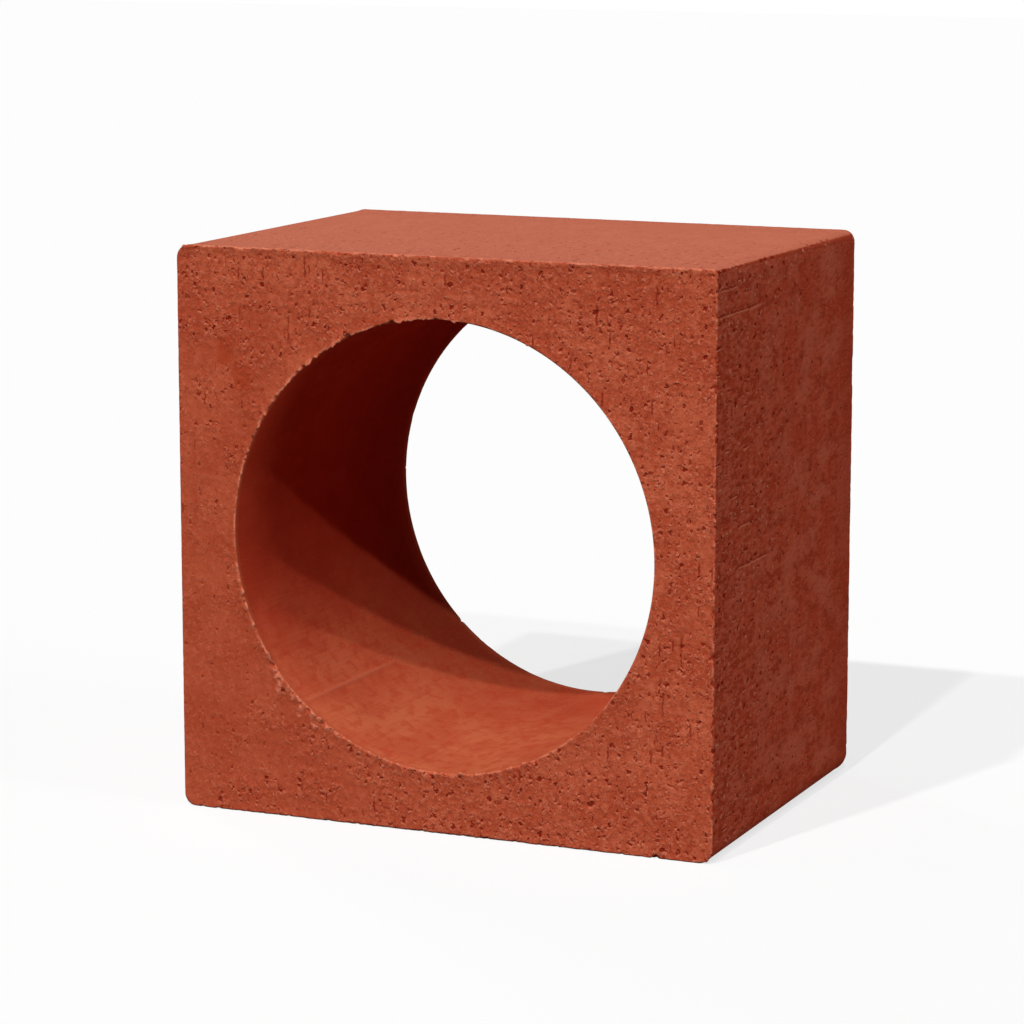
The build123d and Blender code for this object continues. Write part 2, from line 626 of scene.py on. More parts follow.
# %% Build the closed mesh
def closed_skin(table, name):
    """A mesh from a table of points that wraps both ways. Face (i, j) joins the points (i, j),
    (i+1, j), (i+1, j+1) and (i, j+1), with both numbers taken round past the end."""
    rows, columns = table.shape[:2]
    number = np.arange(rows * columns).reshape(rows, columns)
    next_row, next_column = np.roll(number, -1, 0), np.roll(number, -1, 1)
    corner = np.stack([number, next_row, np.roll(next_row, -1, 1), next_column], axis=-1)
    mesh = bpy.data.meshes.new(name)
    mesh.vertices.add(number.size)
    mesh.vertices.foreach_set("co", (table / mm_per_metre).ravel())
    mesh.loops.add(corner.size)
    mesh.loops.foreach_set("vertex_index", corner.ravel())
    mesh.polygons.add(number.size)
    mesh.polygons.foreach_set("loop_start", np.arange(0, corner.size, 4))
    mesh.polygons.foreach_set("loop_total", np.full(number.size, 4))
    mesh.polygons.foreach_set("use_smooth", np.ones(number.size, dtype=bool))
    mesh.update()
    return mesh


brick_mesh = closed_skin(shaped, "fired_clay_skin")
brick = bpy.data.objects.new("fired_clay_skin", brick_mesh)
bpy.context.scene.collection.objects.link(brick)
print(brick.name, "has", len(brick_mesh.polygons), "faces")

# %% [markdown]
# A closed mesh can be measured. Its volume should come out a little under the CAD block's, as
# wear takes far more clay than the crumbs add. It should also be above zero, because a skin
# that was inside out would count its whole volume as negative.

# %% Measure what the mesh encloses
def enclosed(mesh):
    """Volume inside a closed mesh in cubic mm: the sum over its triangles of the box product of
    their corners over six."""
    mesh.calc_loop_triangles()
    corners = np.empty(len(mesh.loop_triangles) * 3, dtype=np.int32)
    mesh.loop_triangles.foreach_get("vertices", corners)
    place = np.empty(len(mesh.vertices) * 3)
    mesh.vertices.foreach_get("co", place)
    a, b, c = place.reshape(-1, 3)[corners].reshape(-1, 3, 3).transpose(1, 0, 2)
    return float(np.einsum("ij,ij->", a, np.cross(b, c)) / 6 * mm_per_metre**3)


print("volume", round(enclosed(brick_mesh)), "cubic mm,", len(brick_mesh.loop_triangles), "triangles")

# %% [markdown]
# The smooth faces need a flat chart for their patterns, as if the sheet of clay were unrolled.
# One direction is the depth. The other is how far round the outline a place lies, and it has to
# start again somewhere. It does so along the middle of the lower side, and it is saved at the
# corners of faces, not at points, so that no face has to stretch from the end to the start.
# Outside the hole it is mixed from the front's and the back's, as the outline itself is.

# %% Save how far round each face corner lies
def unrolled(outline):
    """Where each step starts and ends on the unrolled outline, in mm: the running sum of the
    lengths between steps, counted from the middle of the lower side."""
    lengths = np.linalg.norm(np.roll(outline, -1, 0) - outline, axis=-1)
    lowest = steps_round * 3 // 4
    end = np.roll(np.cumsum(np.roll(lengths, -lowest)), lowest)
    return end - lengths, end


round_hole, round_front, round_back = (
    np.array(unrolled(outline))[..., None] for outline in (hole_outline, front_outline, back_outline))


def round_at(end, share_back):
    """How far round each point lies, for the start (0) or the end (1) of its step: the hole's
    own length inside it, and outside a mix of the front's and the back's."""
    outside = round_front[end] * (1 - share_back) + round_back[end] * share_back
    return np.where(in_hole, round_hole[end], outside)


share_here = backness[..., 0]
share_next = np.roll(share_here, -1, axis=1)
corner_values = np.stack([round_at(0, share_here), round_at(1, share_here),
                          round_at(1, share_next), round_at(0, share_next)], axis=-1)
round_mm = brick_mesh.attributes.new("round_mm", "FLOAT", "CORNER")
round_mm.data.foreach_set("value", corner_values.astype(np.float32).ravel())
print("once round is", round_hole.max().round(1), "mm in the hole,", round_back.max().round(1), "at the back")

# %% [markdown]
# The finish has to know where the clay is pitted, crumbled or ploughed. Those tables are saved
# on the mesh as named values at its points, so colour and shape stay together.

# %% Save the tables as named values on the mesh
# The pitted value later darkens the pits and bites with painted shade.
pitted = np.maximum(np.clip((hollow - 0.1) / 0.45, 0, 1), 0.8 * bitten)
for name, table in (("pitted", pitted), ("crumbled", crumbled), ("ploughed", ploughed)):
    value = brick_mesh.attributes.new(name, "FLOAT", "POINT")
    value.data.foreach_set("value", table.astype(np.float32).ravel())
    print(name, "mean", table.mean().round(4))

# %% [markdown]
# ## Finishes
#
# A picture laid over the brick would blur close up and smear at the corners. A pattern worked
# out from each place stays sharp, and it covers the faces that no picture shows. It takes a
# network of nodes, and one node at a time would fill pages. So the next five cells build up a
# helper in layers, each with a few short tools.
#
# The first layer starts a material and adds nodes to it. A place is read from Object
# coordinates and turned into millimetres, so that every size in a pattern is a real size.

# %% Start a material and add nodes to it
class Network:
    """One material's network, with short ways to add nodes to it."""

    def __init__(self, name, roughness, specular):
        self.material = bpy.data.materials.new(name)
        self.material.use_nodes = True
        self.tree = self.material.node_tree
        self.shader = self.tree.nodes["Principled BSDF"]
        self.shader.inputs["Roughness"].default_value = roughness
        self.shader.inputs["Specular IOR Level"].default_value = specular
        place = self.tree.nodes.new("ShaderNodeTexCoord").outputs["Object"]
        self.place = self.mapped(place, (mm_per_metre,) * 3)
        self.flat = "3D"

    def add(self, kind, settings, sockets):
        """Adds a node, sets its choices, and gives each numbered socket a value or a link."""
        node = self.tree.nodes.new(kind)
        for name, choice in settings.items():
            setattr(node, name, choice)
        for key, value in sockets.items():
            if isinstance(value, bpy.types.NodeSocket):
                self.tree.links.new(value, node.inputs[key])
            else:
                node.inputs[key].default_value = value
        return node

    def mapped(self, vector, scale, shift=(0, 0, 0)):
        """Stretches and shifts a place."""
        sockets = {"Vector": vector, "Scale": scale, "Location": shift}
        return self.add("ShaderNodeMapping", {}, sockets).outputs[0]

    def split(self, vector):
        """The three parts of a place or a direction."""
        return self.add("ShaderNodeSeparateXYZ", {}, {0: vector}).outputs


print("a network can:", [tool for tool in vars(Network) if not tool.startswith("_")])

# %% [markdown]
# A pattern is a number at every place. The second layer does sums with such numbers, and its
# fit is the tool used most: it picks out the part of a pattern between two levels.

# %% Do sums with patterns
class Sums(Network):
    """A network that can reckon with its values."""

    def reckon(self, kind, a, b=0.0):
        """One step of arithmetic on one or two values."""
        return self.add("ShaderNodeMath", {"operation": kind}, {0: a, 1: b}).outputs[0]

    def plus(self, a, b):
        """The sum of two values."""
        return self.reckon("ADD", a, b)

    def minus(self, a, b):
        """The first value less the second."""
        return self.reckon("SUBTRACT", a, b)

    def times(self, a, b):
        """The product of two values."""
        return self.reckon("MULTIPLY", a, b)

    def most(self, *values):
        """The largest of several values at each point."""
        top = values[0]
        for value in values[1:]:
            top = self.reckon("MAXIMUM", top, value)
        return top

    def fit(self, value, low, high, to_low=0.0, to_high=1.0):
        """Carries the range low to high over to another range, eased and held at its ends."""
        ends = {"Value": value, "From Min": low, "From Max": high, "To Min": to_low, "To Max": to_high}
        return self.add("ShaderNodeMapRange", {"interpolation_type": "SMOOTHSTEP"}, ends).outputs[0]


print("the sums are:", [tool for tool in vars(Sums) if not tool.startswith("_")])

# %% [markdown]
# The third layer says where a pattern lies. A pattern in space would be sliced at odd angles by
# the faces, so patterns lie flat instead: across and up on the cut faces, and round and deep on
# the smooth ones. A place can also be shaken by noise, so that whatever is drawn there comes
# out ragged.

# %% Choose where patterns lie
class Chart(Sums):
    """A network that lays its patterns on the faces of the brick."""

    def value(self, name):
        """A named value that was saved on the mesh."""
        return self.add("ShaderNodeAttribute", {"attribute_name": name}, {}).outputs["Fac"]

    def lay_flat(self):
        """From here on, patterns lie in the cut faces: across and up, with no depth. The back
        half of the brick reads its patterns far off to the side, so the two faces differ."""
        parts = self.split(self.place)
        aside = self.times(self.reckon("GREATER_THAN", parts[1], 0.0), 3 * face_size)
        across = self.plus(parts[0], aside)
        self.place = self.add("ShaderNodeCombineXYZ", {}, {0: across, 1: parts[2]}).outputs[0]
        self.flat = "2D"

    def unroll(self):
        """From here on, patterns lie on the unrolled smooth faces: how far round, and how deep."""
        depth = self.split(self.place)[1]
        sockets = {0: self.value("round_mm"), 1: depth}
        self.place = self.add("ShaderNodeCombineXYZ", {}, sockets).outputs[0]
        self.flat = "2D"

    def shaken(self, amount, size):
        """Places pushed about by noise of that size. On average they move by half the amount."""
        sockets = {"Vector": self.place, "Scale": 1 / size, "Detail": 2.0}
        push = self.add("ShaderNodeTexNoise", {"noise_dimensions": self.flat}, sockets).outputs["Color"]
        sockets = {0: push, 1: (amount,) * 3, 2: self.place}
        return self.add("ShaderNodeVectorMath", {"operation": "MULTIPLY_ADD"}, sockets).outputs[0]


print("a chart adds:", [tool for tool in vars(Chart) if not tool.startswith("_")])

# %% [markdown]
# The fourth layer has the few patterns that fired clay shows. Clouds are noise. Dots come from
# Voronoi cells, one to a cell, and can be pits, crumbs, slits or flakes by their size and
# stretch. Borders are the thin lines between grains. A mark is one crack, scratch or stain at a
# chosen place.

# %% Draw the patterns of fired clay
class Patterns(Chart):
    """A chart that can draw clouds, dots, borders, gaps and single marks, each from 0 to 1."""

    def cloud(self, size, stretch=(1, 1, 1), shift=(0, 0, 0), layers=3.0, contrast=0.5):
        """Noise whose clouds are about that size in mm, longer where the stretch is over 1."""
        vector = self.mapped(self.place, tuple(1 / size / s for s in stretch), shift)
        sockets = {"Vector": vector, "Scale": 1.0, "Detail": layers, "Roughness": contrast}
        return self.add("ShaderNodeTexNoise", {"noise_dimensions": self.flat}, sockets).outputs["Fac"]

    def gaps(self, noise, level):
        """Ragged holes wherever a noise falls below a level."""
        return self.fit(self.minus(noise, level), 0.0, -0.04, 0.0, 1.0)

    def borders(self, places, size, width):
        """Thin lines between grains of about that size in mm, like the gaps round small stones."""
        vector = self.mapped(places, (1 / size,) * 3)
        choices = {"voronoi_dimensions": self.flat, "feature": "DISTANCE_TO_EDGE"}
        cells = self.add("ShaderNodeTexVoronoi", choices, {"Vector": vector, "Scale": 1.0})
        return self.fit(cells.outputs["Distance"], width / size * 0.3, width / size, 1.0, 0.0)

    def dots(self, places, spacing, radius, share, stretch=(1, 1, 1), shift=(0, 0, 0), crowd=1.0):
        """Dots of many sizes up to that radius in mm, one to a cell of that spacing, in a share
        of the cells. Each cell's own random number decides its dot's size, and a crowd pattern
        makes dots larger or smaller from place to place."""
        vector = self.mapped(places, tuple(1 / spacing / s for s in stretch), shift)
        choices, sockets = {"voronoi_dimensions": self.flat}, {"Vector": vector, "Scale": 1.0}
        cells = self.add("ShaderNodeTexVoronoi", choices, sockets)
        chance = self.add("ShaderNodeSeparateColor", {}, {"Color": cells.outputs["Color"]}).outputs[0]
        reach = self.times(self.fit(chance, 1 - share, 1.0, 0.0, radius / spacing), crowd)
        edge = self.reckon("DIVIDE", cells.outputs["Distance"], self.plus(reach, 0.0001))
        return self.fit(edge, 0.5, 1.0, 1.0, 0.0)

    def mark(self, places, middle, half_length, half_width, lean=0.0):
        """One mark along the second direction: full at its middle, gone one half-width aside
        and at both tips. It leans by so much sideways for each step along."""
        parts = self.split(places)
        along_it = self.minus(parts[1], middle[1])
        aside = self.minus(self.minus(parts[0], middle[0]), self.times(along_it, lean))
        near = self.fit(self.reckon("ABSOLUTE", aside), half_width, half_width * 0.3)
        between_tips = self.fit(self.reckon("ABSOLUTE", along_it), half_length, half_length * 0.6)
        return self.times(near, between_tips)


print("the patterns are:", [tool for tool in vars(Patterns) if not tool.startswith("_")])

# %% [markdown]
# The last layer turns patterns into a finish: one colour laid over another by a pattern, and
# patterns added up into a relief in millimetres for the bump.

# %% Lay colours and heights
class Finish(Patterns):
    """One clay finish, from its patterns to its colour and relief."""

    def tint(self, amount, strength, under, over):
        """Lays one colour over another by a pattern times a strength."""
        under, over = (c if isinstance(c, bpy.types.NodeSocket) else (*c, 1.0) for c in (under, over))
        share = self.times(amount, strength)
        return self.add("ShaderNodeMix", {"data_type": "RGBA"}, {0: share, 6: under, 7: over}).outputs[2]

    def heights(self, *parts):
        """Adds up heights in mm, each a pattern times how tall it is."""
        total = None
        for pattern, tall in parts:
            height = self.times(pattern, tall)
            total = height if total is None else self.plus(total, height)
        return total

    def done(self, colour, height):
        """Joins the colour and the relief to the shader."""
        sockets = {"Height": height, "Distance": 1 / mm_per_metre, "Strength": 1.0}
        bump = self.add("ShaderNodeBump", {}, sockets)
        self.tree.links.new(colour, self.shader.inputs["Base Color"])
        self.tree.links.new(bump.outputs[0], self.shader.inputs["Normal"])
        brick_mesh.materials.append(self.material)
        print(self.material.name, "has", len(self.tree.nodes), "nodes")


print("a finish adds:", [tool for tool in vars(Finish) if not tool.startswith("_")])

# %% [markdown]
# ### Colours of the clay
#
# Iron makes the clay red. The body is a dull orange-red, deeper where it was pressed wet and
# paler where it is dusty, which on the top is partly a painted sheen, and darkened nearly to
# brown down in a pit, which is painted shade. More painted shade darkens the rounded long edges
# and the far part of the hole, and the crumb colours also serve as painted highlights. The rest
# are the colours under plain light, written as light amounts from 0 to 1.

# %% Name the colours
body_clay = (0.415, 0.082, 0.037)
deep_clay = (0.335, 0.052, 0.022)
pale_clay = (0.490, 0.125, 0.066)
dust_and_sheen_clay = (0.450, 0.137, 0.082)
stain_red = (0.320, 0.040, 0.014)
pit_shade_red = (0.165, 0.004, 0.001)
crumb_and_highlight_pink = (0.620, 0.205, 0.120)
crumb_and_highlight_orange = (0.560, 0.165, 0.092)
body_side = (0.415, 0.060, 0.026)
deep_side = (0.295, 0.031, 0.011)
red_side = (0.375, 0.042, 0.017)
pale_side = (0.450, 0.092, 0.050)
rounding_shade_red = (0.245, 0.030, 0.012)
pit_shade_side = (0.190, 0.008, 0.002)
body_core = (0.430, 0.048, 0.021)
deep_core = (0.390, 0.040, 0.017)
dusty_core = (0.505, 0.122, 0.053)
far_core_shade = (0.270, 0.018, 0.007)
print("body colours of the cut faces, the sides and the hole:", body_clay, body_side, body_core)

# %% [markdown]
# ### The wire-cut finish
#
# The cut faces are matte and open, but not evenly so. The clay is torn most towards the right
# and near the top and bottom, and least in the lower left corner. One value, torn, holds that
# mix of place and chance, and the patterns that follow grow with it.

# %% Say how torn the cut clay is
cut = Finish("wire_cut_clay", roughness=0.9, specular=0.01)
cut_parts = cut.split(cut.place)
to_right = cut.fit(cut_parts[0], -95.0, 40.0, -0.15, 0.30)
off_middle = cut.reckon("ABSOLUTE", cut.minus(cut_parts[2], middle_height))
to_beds = cut.fit(off_middle, 45.0, 95.0, 0.0, 0.35)
from_lower_left = cut.plus(cut_parts[0], cut_parts[2])
to_lower_left = cut.fit(from_lower_left, 190.0, -60.0, 0.0, 0.6)
calm_corner = cut.fit(from_lower_left, 40.0, -80.0, 0.0, -0.35)
cut.lay_flat()
by_place = cut.plus(cut.plus(to_right, to_beds), calm_corner)
by_chance = cut.fit(cut.cloud(14.0), 0.36, 0.64, 0.2, 0.75)
torn = cut.fit(cut.plus(by_chance, by_place), 0.0, 1.0)
strong = cut.fit(torn, 0.0, 1.0, 0.40, 1.0)
clumps = cut.fit(cut.cloud(4.0, shift=(6.1, 2.7, 0), layers=2.0), 0.40, 0.64, 0.80, 1.12)
crowd = cut.times(cut.fit(torn, 0.0, 1.0, 0.72, 1.0), clumps)
print("nodes so far:", len(cut.tree.nodes))

# %% [markdown]
# Pits and pores come in three sizes, all ragged. A pit's lower lip catches the light from
# above, so each pit is drawn again a little lower, and what sticks out below the pit becomes
# its lip, a painted highlight. Hard pale crumbs and flecks lie between them.

# %% Dot the cut faces with pits, pores and crumbs
large_pit = {"spacing": 6.5, "radius": 1.05, "share": 0.9}
small_pit = {"spacing": 3.6, "radius": 0.75, "share": 0.7, "shift": (7.3, 2.9, 0)}
ragged = cut.shaken(1.9, 1.3)
lower = cut.mapped(ragged, (1, 1, 1), (0, 0.75, 0))
pits, pit_lip_highlights = (cut.dots(places, **large_pit, crowd=crowd) for places in (ragged, lower))
small_pits, small_lip_highlights = (cut.dots(places, **small_pit, crowd=crowd) for places in (ragged, lower))
pores = cut.dots(ragged, 2.1, 0.52, 0.6, shift=(3.1, 7.7, 0), crowd=crowd)
crumbs = cut.dots(ragged, 2.4, 0.62, 0.7, shift=(5.5, 1.3, 0), crowd=crowd)
flecks = cut.dots(ragged, 2.8, 0.30, 0.6, stretch=(2.4, 1, 1), shift=(4.4, 8.1, 0), crowd=crowd)
print("nodes so far:", len(cut.tree.nodes))

# %% [markdown]
# Slits and flakes are so thin that the strong shake would break them into dots, so they are
# only bent, by a gentler one. The cracks and the two darker stains that the real brick shows
# are marks at their own places: across, up, half length, and then the lean of a crack or the
# half width of a stain. A bent place has moved by half the bend, and that is added back.

# %% Draw slits and flakes, and the marks that show
bend = 1.2
bent = cut.shaken(bend, 1.9)
slits = cut.dots(bent, 4.6, 0.46, 0.5, stretch=(1, 7, 1), shift=(9.3, 2.2, 0), crowd=crowd)
flakes = cut.dots(bent, 3.8, 0.42, 0.4, stretch=(4.0, 1, 1), shift=(1.3, 6.2, 0), crowd=crowd)
seen_cracks = ((-57.0, 172.5, 5.6, 0.0), (-76.0, 191.0, 2.8, 0.0), (-50.4, 194.0, 4.5, 0.0),
               (91.9, 45.0, 2.8, 0.0), (81.9, 53.0, 5.0, 0.02), (81.9, 37.0, 2.5, 0.0),
               (77.8, 35.0, 3.0, -0.05), (57.4, 181.5, 2.6, 0.0), (78.9, 190.0, 3.9, 0.0),
               (59.6, 155.0, 2.9, 0.05), (47.4, 163.5, 2.6, 0.3), (77.4, 153.5, 3.3, 0.0))
seen_stains = ((-81.6, 163.9, 6.2, 4.6), (-75.2, 154.6, 6.0, 5.4))
crack_half_width = 0.5
cracks = cut.most(slits, *(
    cut.mark(bent, (across + bend / 2, up + bend / 2), half_length, crack_half_width, lean)
    for across, up, half_length, lean in seen_cracks))
stained = cut.most(*(
    cut.mark(bent, (across + bend / 2, up + bend / 2), half_length, half_width)
    for across, up, half_length, half_width in seen_stains))
print(len(seen_cracks), "cracks and", len(seen_stains), "stains are placed")

# %% [markdown]
# Where the clay is torn most, ragged gaps open in it, and small stones show by the cracks round
# them. Over everything lies a grain in two sizes, and a faint upright drag from the wire.

# %% Draw gaps, stones, grain and drag
gap_level = cut.fit(torn, 0.0, 1.0, 0.25, 0.315)
gaps, gap_lip_highlights = (cut.gaps(cut.cloud(2.2, shift=shift, layers=2.0), gap_level)
                  for shift in ((0, 0, 0), (0, 0.30, 0)))
broken_up = cut.fit(cut.cloud(3.2, shift=(4.9, 9.4, 0), layers=2.0), 0.50, 0.60)
round_grains = cut.times(cut.borders(ragged, 3.2, 0.55), broken_up)
grain = cut.cloud(1.0, shift=(2.0, 5.0, 0), layers=3.0, contrast=0.6)
coarse_grain = cut.cloud(2.4, shift=(8.0, 3.0, 0), layers=3.0)
drag = cut.cloud(1.1, stretch=(1, 5, 1), shift=(0, 3, 0), layers=2.0)
patches = cut.cloud(20.0, layers=4.0, contrast=0.55)
print("nodes so far:", len(cut.tree.nodes))

# %% [markdown]
# All that is hollow is gathered into one value for the painted shade in a pit, the deepest
# counting fully and the rest for a share. The pits and bites of the mesh itself join in, with
# their saved outline roughened by the grain. The lips keep only what lies outside the hollows.

# %% Gather the holes and their lips
roughened = cut.plus(cut.value("pitted"), cut.fit(grain, 0.3, 0.7, -0.4, 0.4))
fallen_out = cut.fit(roughened, 0.5, 0.9)
shallower = ((gaps, 0.75), (small_pits, 0.85), (cracks, 0.8), (flakes, 0.75), (pores, 0.5),
             (round_grains, 0.3))
shaded_hollows = cut.most(pits, fallen_out, *(cut.times(pattern, share) for pattern, share in shallower))
lip_highlights = cut.minus(cut.most(pit_lip_highlights, small_lip_highlights, gap_lip_highlights), shaded_hollows)
print("nodes so far:", len(cut.tree.nodes))

# %% [markdown]
# Colours go on from the widest to the finest: patches and the deeper lower left first, then
# grain, drag and stains, then crumbs, the painted highlights on the lips and the broken edges,
# which are partly painted highlight, and the painted shade of the pits last.

# %% Colour and finish the cut faces
grain_strength = cut.fit(torn, 0.0, 1.0, 0.2, 0.5)
colour = cut.tint(cut.fit(patches, 0.36, 0.64), 1.0, deep_clay, body_clay)
colour = cut.tint(to_lower_left, 1.0, colour, deep_clay)
colour = cut.tint(cut.fit(grain, 0.45, 0.75), grain_strength, colour, pale_clay)
colour = cut.tint(cut.fit(coarse_grain, 0.50, 0.34), grain_strength, colour, deep_clay)
colour = cut.tint(cut.fit(coarse_grain, 0.52, 0.68), cut.fit(torn, 0.0, 1.0, 0.2, 0.4), colour, pale_clay)
colour = cut.tint(cut.fit(drag, 0.5, 0.75), 0.3, colour, deep_clay)
colour = cut.tint(stained, 0.75, colour, stain_red)
# Painted highlight on the lips below the pits, together with the pale crumbs and flecks.
colour = cut.tint(cut.times(cut.most(crumbs, flecks, lip_highlights), strong), 0.6, colour, crumb_and_highlight_orange)
# Pale crumbs and edges, partly paler clay and partly painted highlight.
pale_crumbs_and_highlight = cut.times(cut.value("crumbled"), cut.fit(grain, 0.35, 0.55))
colour = cut.tint(pale_crumbs_and_highlight, 0.8, colour, crumb_and_highlight_orange)
colour = cut.tint(cut.fit(cut.value("crumbled"), 0.5, 1.0), 0.4, colour, crumb_and_highlight_pink)
# Painted shade: the hollows of the cut faces are darkened towards a deep red.
colour = cut.tint(cut.times(shaded_hollows, cut.fit(strong, 0.35, 1.0, 0.55, 1.0)), 0.85, colour, pit_shade_red)
relief = cut.heights((grain, 0.20), (coarse_grain, 0.45), (drag, 0.10), (crumbs, 0.20), (flecks, 0.12),
                     (pits, -0.24), (gaps, -0.10), (small_pits, -0.14), (pores, -0.06),
                     (cracks, -0.12), (flakes, -0.10))
cut.done(colour, cut.times(relief, strong))

# %% [markdown]
# ### The die-smoothed finish
#
# The four sides slid along steel, so they are closed and smoother. The wire still reached them:
# pits and scratches are thickest near the front and on the rounded long edges, and along the
# top of each side. The side that faces up is paler, partly from dust and partly as a painted
# sheen, and the rounding beside it is darkened with painted shade.

# %% Say what each place on the sides is near to
die = Finish("die_smoothed_clay", roughness=0.85, specular=0.01)
normal = die.add("ShaderNodeNewGeometry", {}, {}).outputs["Normal"]
upwards = die.split(normal)[2]
die_parts = die.split(die.place)
depth, height = die_parts[1], die_parts[2]
# Where the face looks up it turns paler, partly from dust and partly as a painted sheen.
pale_facing_up = die.fit(upwards, 0.60, 0.80)
not_facing_up = die.fit(pale_facing_up, 1.0, 0.0)
# The rounding below the face that looks up, which takes painted shade.
shaded_rounding = die.times(die.fit(upwards, 0.08, 0.30), not_facing_up)
on_corner = die.times(die.fit(upwards, 0.05, 0.25), die.fit(upwards, 0.95, 0.75))
near_top = die.times(die.fit(height, 188.0, 197.0), die.fit(depth, 50.0, -50.0))
near_top = die.times(near_top, not_facing_up)
near_front = die.fit(depth, -66.0, 10.0, 1.0, 0.2)
near_wire = die.plus(die.fit(depth, -65.0, 50.0, 1.25, 0.5), die.times(on_corner, 0.7))
near_wire = die.plus(near_wire, die.times(near_top, 0.3))
print("nodes so far:", len(die.tree.nodes))

# %% [markdown]
# Everything on the sides is drawn out a little along the depth, the way the clay slid. Short
# drag grooves have a painted highlight on their lower lip, made as the lips of the pits are.

# %% Dot the sides with pits, pores, specks and grooves
die.unroll()
drawn_out, longer = (1, 2.2, 1), (1, 1.5, 1)
side_pit = {"spacing": 4.2, "radius": 0.85, "share": 0.7, "stretch": longer}
ragged = die.shaken(2.2, 1.6)
lower = die.mapped(ragged, (1, 1, 1), (0.5, 0, 0))
pits, lower_pits = (die.dots(places, **side_pit, crowd=near_wire) for places in (ragged, lower))
pit_lip_highlights = die.minus(lower_pits, pits)
pores = die.dots(ragged, 2.1, 0.45, 0.6, stretch=longer, shift=(2.2, 5.1, 0), crowd=near_wire)
specks = die.dots(ragged, 3.2, 0.60, 0.7, stretch=longer, shift=(5.5, 1.3, 0), crowd=near_wire)
groove_level = die.fit(near_front, 0.0, 1.0, 0.18, 0.285)
grooves, lower_grooves = (
    die.gaps(die.cloud(1.1, stretch=(1, 8, 1), shift=(shift, 4.2, 0), layers=2.0), groove_level)
    for shift in (1.7, 2.2))
print("nodes so far:", len(die.tree.nodes))

# %% [markdown]
# Four longer scratches on the right side are marks at their own places: up, deep and half
# length. The chart counts from the middle of the lower side, so a place on the right side is
# found from where the chart passes half the brick's height. Each scratch has a lip below it,
# a painted highlight.

# %% Place the scratches that show
bend, lip_below = 1.0, 0.6
bent = die.shaken(bend, 4.0)
middle_of_right = float(round_front[1][0, 0]) - middle_height
seen_scratches = ((183.0, -54.0, 32.0), (191.7, -58.0, 9.0), (96.0, -33.0, 17.0), (110.0, -40.0, 9.0))
scratches, scratch_lip_highlights = (
    die.most(*(die.mark(bent, (middle_of_right + up + bend / 2 - below, deep + bend / 2),
                        half_length, half_width) for up, deep, half_length in seen_scratches))
    for below, half_width in ((0.0, 0.5), (lip_below, 0.45)))
print(len(seen_scratches), "scratches,", round(middle_of_right, 1), "mm is the foot of the right side")

# %% [markdown]
# Under the dots lies the cloudy bloom that salts leave as a brick dries: wide soft clouds that
# grow towards the back, upright drips, and blotches in two sizes. The finest are strongest near
# the front.

# %% Draw the bloom, drips, blotches and grain
bloom = die.cloud(14.0, stretch=longer, shift=(2.0, 0.4, 0), layers=3.0, contrast=0.45)
drips = die.cloud(7.0, stretch=(4, 1, 1), shift=(5.0, 3.4, 0), layers=3.0)
blotches = die.cloud(4.8, stretch=drawn_out, shift=(6.0, 1.0, 0), layers=4.0, contrast=0.6)
fine_blotches = die.cloud(1.7, stretch=drawn_out, shift=(3.0, 1.0, 0), layers=3.0, contrast=0.55)
grain = die.cloud(0.8, stretch=drawn_out, shift=(4.0, 9.0, 0), layers=3.0, contrast=0.6)
at_rear = die.fit(depth, -50.0, 20.0, 0.40, 0.80)
rear_arris = die.fit(depth, 40.0, 69.0, 0.0, 0.6)
fine_contrast = die.fit(depth, -60.0, 5.0, 0.80, 0.40)
print("nodes so far:", len(die.tree.nodes))

# %% [markdown]
# Again the colours go on from the widest to the finest. The painted shade on the rounding goes
# on before the dust and painted sheen, which cover it on the upper side, and the specks, the
# painted highlights on the lips and the painted shade in the pits lie over both.

# %% Colour and finish the sides
# The hollows of the sides, gathered for painted shade.
shaded_side_hollows = die.most(die.times(pits, 0.9), die.times(grooves, 0.7), die.times(pores, 0.6),
                      die.times(scratches, 0.5), die.value("pitted"))
specks_and_lip_highlights = die.most(specks, die.minus(lower_grooves, grooves), die.times(scratch_lip_highlights, 0.7),
                      die.times(pit_lip_highlights, 0.4))
pale_crumbs_and_highlight = die.times(die.value("crumbled"), die.fit(grain, 0.35, 0.55))
colour = die.tint(die.fit(blotches, 0.41, 0.56), 1.0, deep_side, body_side)
colour = die.tint(die.fit(bloom, 0.46, 0.70), at_rear, colour, pale_side)
colour = die.tint(die.fit(bloom, 0.50, 0.34), at_rear, colour, red_side)
colour = die.tint(die.fit(drips, 0.52, 0.70), 0.35, colour, pale_side)
colour = die.tint(die.fit(fine_blotches, 0.50, 0.65), fine_contrast, colour, pale_side)
colour = die.tint(die.fit(fine_blotches, 0.46, 0.32), fine_contrast, colour, deep_side)
colour = die.tint(near_top, 0.15, colour, pale_side)
colour = die.tint(rear_arris, 1.0, colour, deep_side)
colour = die.tint(die.fit(grain, 0.45, 0.75), 0.3, colour, pale_side)
# Painted shade on the rounding between the sides and the top.
colour = die.tint(shaded_rounding, 0.75, colour, rounding_shade_red)
# Dust and painted sheen on the face that looks up.
colour = die.tint(pale_facing_up, 0.75, colour, dust_and_sheen_clay)
# Painted highlight on the lips of pits, grooves and scratches, together with the pale specks.
colour = die.tint(specks_and_lip_highlights, 0.62, colour, crumb_and_highlight_pink)
# Pale crumbs and edges, partly paler clay and partly painted highlight.
colour = die.tint(pale_crumbs_and_highlight, 0.7, colour, crumb_and_highlight_orange)
